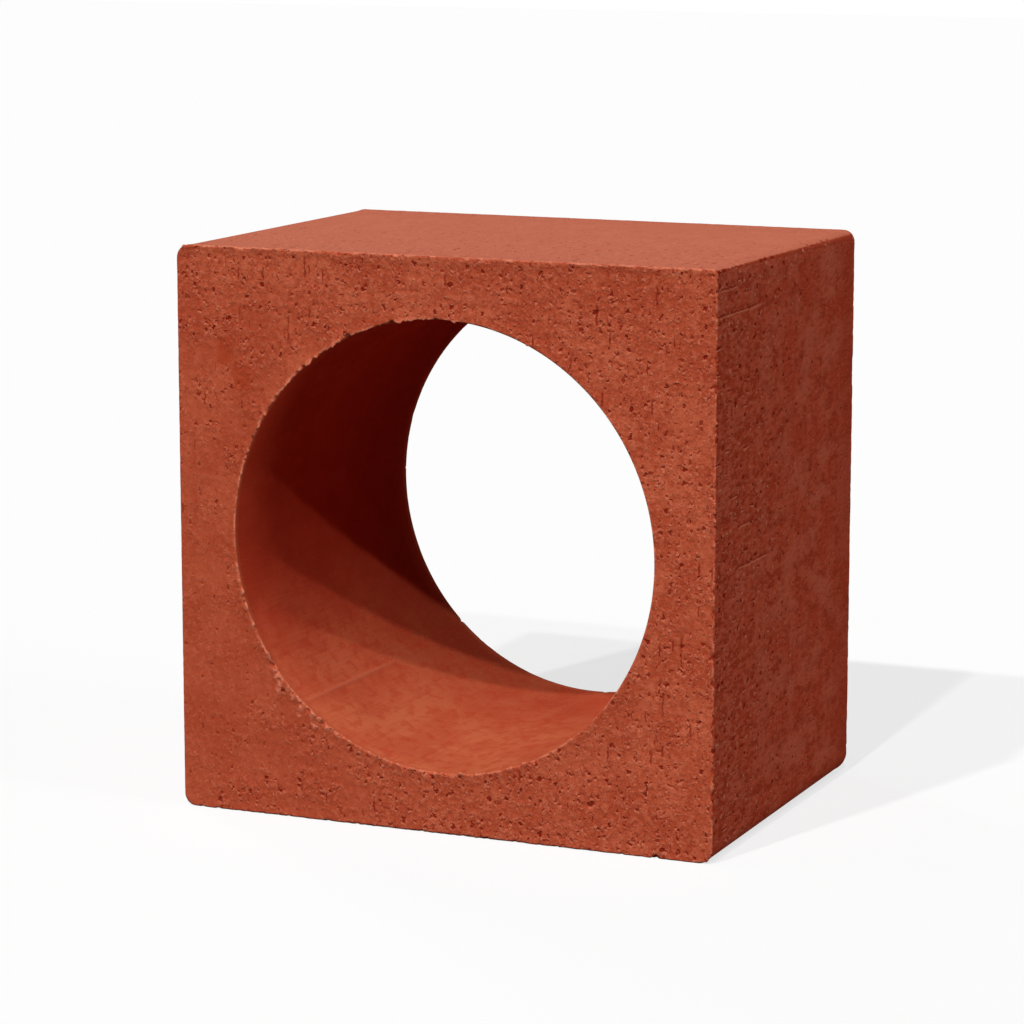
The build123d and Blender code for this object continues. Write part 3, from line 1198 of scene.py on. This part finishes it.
# Painted shade: the hollows darken towards a deep red, less so on the face that looks up.
colour = die.tint(shaded_side_hollows, die.fit(pale_facing_up, 0.0, 1.0, 0.95, 0.5), colour, pit_shade_side)
relief = die.heights((grain, 0.12), (fine_blotches, 0.18), (blotches, 0.30), (specks, 0.16),
                     (pits, -0.28), (grooves, -0.16), (pores, -0.08), (scratches, -0.14))
die.done(colour, relief)

# %% [markdown]
# ### The finish inside the hole
#
# The core left the smoothest face of all: an even red with soft clouds and faint lines along the
# depth. Dust has settled where the hole faces up, so the direction that the clay faces says how
# dusty it is.

# %% Draw the patterns of the hole
hole = Finish("core_smoothed_clay", roughness=0.9, specular=0.0)
normal = hole.add("ShaderNodeNewGeometry", {}, {}).outputs["Normal"]
pale_facing_up = hole.fit(hole.split(normal)[2], 0.05, 1.0)
depth = hole.split(hole.place)[1]
by_rim = hole.fit(hole.reckon("ABSOLUTE", depth), 66.5, 69.0)
hole.unroll()
lines = hole.cloud(1.4, stretch=(1, 20, 1), layers=3.0)
clouds = hole.cloud(16.0, stretch=(1, 1.4, 1), layers=4.0, contrast=0.55)
blotches = hole.cloud(4.5, stretch=(1, 1.3, 1), layers=3.0)
grain = hole.cloud(0.9, layers=3.0, contrast=0.6)
print("nodes so far:", len(hole.tree.nodes))

# %% [markdown]
# The dust makes the floor of the hole paler and pinker than its walls, and further in the red
# is darkened with painted shade. The ploughed line has a paler tone. At both rims the red turns
# into the colour of the cut faces, and the crumbs there, partly painted highlight, come last.

# %% Colour and finish the hole
pale_crumbs_and_highlight = hole.times(hole.value("crumbled"), hole.fit(grain, 0.3, 0.55))
colour = hole.tint(hole.fit(clouds, 0.35, 0.65), 1.0, deep_core, body_core)
colour = hole.tint(pale_facing_up, hole.fit(clouds, 0.35, 0.65, 0.60, 1.0), colour, dusty_core)
# Painted shade: a darker red further into the hole.
colour = hole.tint(hole.fit(depth, -35.0, 60.0), 0.5, colour, far_core_shade)
colour = hole.tint(hole.fit(blotches, 0.50, 0.34), 0.4, colour, deep_core)
colour = hole.tint(hole.fit(lines, 0.45, 0.75), 0.25, colour, deep_core)
colour = hole.tint(hole.times(hole.fit(grain, 0.5, 0.8), pale_facing_up), 0.4, colour, pale_clay)
colour = hole.tint(hole.value("ploughed"), 0.6, colour, pale_clay)
colour = hole.tint(by_rim, 0.9, colour, body_clay)
# Pale crumbs at the rims, partly paler clay and partly painted highlight.
colour = hole.tint(pale_crumbs_and_highlight, 0.75, colour, crumb_and_highlight_orange)
relief = hole.heights((grain, 0.10), (blotches, 0.15), (lines, 0.08))
hole.done(colour, relief)

# %% [markdown]
# ### Three finishes on one skin
#
# The three materials were added in the order cut, die, hole. The runs of rings go hole, back,
# side, front, so each run gets the number of its finish, and every face takes its ring's.

# %% Give each run of rings its finish
finish_of_run = np.array([2, 0, 1, 0])
finish_of_face = np.broadcast_to(finish_of_run[run_of_ring], (steps_round, rings)).ravel()
brick_mesh.polygons.foreach_set("material_index", finish_of_face.astype(np.int32))
brick_mesh.update()

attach(brick, "root")
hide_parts("clay_block")
print("faces by finish:", np.bincount(finish_of_face))

# %% [markdown]
# ## Studio
#
# The brick stands on a plain pale floor in front of white. The floor is one large square.

# %% Lay the floor
floor_half = 6.0
floor_corners = [(-floor_half, -floor_half, 0), (floor_half, -floor_half, 0),
                 (floor_half, floor_half, 0), (-floor_half, floor_half, 0)]
floor_mesh = bpy.data.meshes.new("studio_floor")
floor_mesh.from_pydata(floor_corners, [], [(0, 1, 2, 3)])
floor = bpy.data.objects.new("studio_floor", floor_mesh)
bpy.context.scene.collection.objects.link(floor)
print("floor,", 2 * floor_half, "metres across")

# %% [markdown]
# A floor made white by lamps alone would need so much light that the clay would bleach. Light
# Path lets the floor and the world look white to the camera without throwing more light on the
# brick, and the floor still shows the brick's shadow. The seen paper is lifted by a glow to
# near white. The paper that sends light back to the brick is darker and has no glow.

# %% Make the floor look white
def start_network(holder):
    """An empty network on a material or a world, and a value that is 1 for a ray that should see
    the white: one from the camera, or one that left it by way of a gloss or of glass."""
    holder.use_nodes = True
    nodes, links = holder.node_tree.nodes, holder.node_tree.links
    nodes.clear()
    ray = nodes.new("ShaderNodeLightPath")
    sees_white = ray.outputs["Is Camera Ray"]
    for kind in ("Is Glossy Ray", "Is Transmission Ray"):
        either = nodes.new("ShaderNodeMath")
        either.operation = "MAXIMUM"
        links.new(sees_white, either.inputs[0])
        links.new(ray.outputs[kind], either.inputs[1])
        sees_white = either.outputs[0]
    return nodes, links, sees_white


paper = bpy.data.materials.new("pale_paper")
nodes, links, sees_white = start_network(paper)
seen_paper, hidden_paper = nodes.new("ShaderNodeBsdfDiffuse"), nodes.new("ShaderNodeBsdfDiffuse")
glow, lifted = nodes.new("ShaderNodeEmission"), nodes.new("ShaderNodeAddShader")
choice, surface = nodes.new("ShaderNodeMixShader"), nodes.new("ShaderNodeOutputMaterial")
seen_paper.inputs["Color"].default_value = (0.24, 0.24, 0.24, 1)
hidden_paper.inputs["Color"].default_value = (0.10, 0.10, 0.10, 1)
glow.inputs["Strength"].default_value = 0.70
links.new(seen_paper.outputs[0], lifted.inputs[0])
links.new(glow.outputs[0], lifted.inputs[1])
links.new(sees_white, choice.inputs[0])
links.new(hidden_paper.outputs[0], choice.inputs[1])
links.new(lifted.outputs[0], choice.inputs[2])
links.new(choice.outputs[0], surface.inputs["Surface"])
floor_mesh.materials.append(paper)
print(paper.name, "has", len(nodes), "nodes")

# %% [markdown]
# The world has the same choice: white for the camera, and for the brick only a faint even light
# from everywhere, which keeps the deepest shadows from going black.

# %% Light the air evenly
world = bpy.data.worlds.new("white_room")
bpy.context.scene.world = world
nodes, links, sees_white = start_network(world)
room, white = nodes.new("ShaderNodeBackground"), nodes.new("ShaderNodeBackground")
choice, surface = nodes.new("ShaderNodeMixShader"), nodes.new("ShaderNodeOutputWorld")
for light, strength in ((room, 0.034), (white, 1.0)):
    light.inputs["Color"].default_value = (1, 1, 1, 1)
    light.inputs["Strength"].default_value = strength
links.new(sees_white, choice.inputs[0])
links.new(room.outputs[0], choice.inputs[1])
links.new(white.outputs[0], choice.inputs[2])
links.new(choice.outputs[0], surface.inputs["Surface"])
print("room light", round(room.inputs["Strength"].default_value, 3))

# %% [markdown]
# One lamp would throw one shadow, and the real one lies in the hole in stepped bands. So three
# lamps stand high in front of the brick, a little apart, and each throws its own edge of shadow
# down the hole. Their directions come from how far each band reaches into the hole and which
# way it leans. Three wide lamps low on the right, the left and behind light the other sides.

# %% Hang the lamps
def lamp(name, heading, strength, softness):
    """A far lamp that shines along a heading. Its strength is the light on a surface that faces
    it, where 1 shows a colour as it is written, and its softness is its width in degrees."""
    data = bpy.data.lights.new(name, "SUN")
    data.energy = strength * math.pi
    data.angle = math.radians(softness)
    holder = bpy.data.objects.new(name, data)
    bpy.context.scene.collection.objects.link(holder)
    holder.rotation_mode = "QUATERNION"
    holder.rotation_quaternion = Vector(heading).to_track_quat("-Z", "Y")
    print(name, "stands", round(math.degrees(math.asin(-Vector(heading).normalized().z)), 1), "degrees up")


lamp("right_key", (-0.275, 0.696, -0.664), strength=0.345, softness=1.6)
lamp("middle_key", (-0.024, 0.676, -0.737), strength=0.46, softness=1.6)
lamp("left_key", (0.184, 0.663, -0.726), strength=0.52, softness=1.6)
lamp("right_fill", (-0.95, 0.08, -0.30), strength=0.32, softness=18.0)
lamp("left_fill", (0.95, 0.08, -0.30), strength=0.12, softness=18.0)
lamp("back_fill", (0.80, -0.55, -0.12), strength=0.50, softness=14.0)

# %% [markdown]
# ## Camera
#
# The camera stands to the right, a little above the brick, with a long lens. Its place, heading
# and lens were solved from the brick's edges and the rim of the hole.

# %% Set the camera
camera_data = bpy.data.cameras.new("photo_angle")
camera_data.lens = 132.2
camera_data.sensor_width = 36.0
camera_data.clip_end = 30.0
camera = bpy.data.objects.new("photo_angle", camera_data)
bpy.context.scene.collection.objects.link(camera)
camera.location = (0.52881, -1.21162, 0.33630)
camera_turn, camera_tip = math.radians(23.727), math.radians(10.073)
camera.rotation_euler = (math.pi / 2 - camera_tip, 0.0, camera_turn)
bpy.context.scene.camera = camera
bpy.context.scene.view_settings.view_transform = "Standard"
print("camera at", tuple(camera.location), "lens", camera_data.lens)

# %% [markdown]
# ## At the end
#
# The skin has to stay close to the CAD block that it stands for. The last step brings the scene
# up to date.

# %% Bring the scene up to date
bpy.context.view_layer.update()
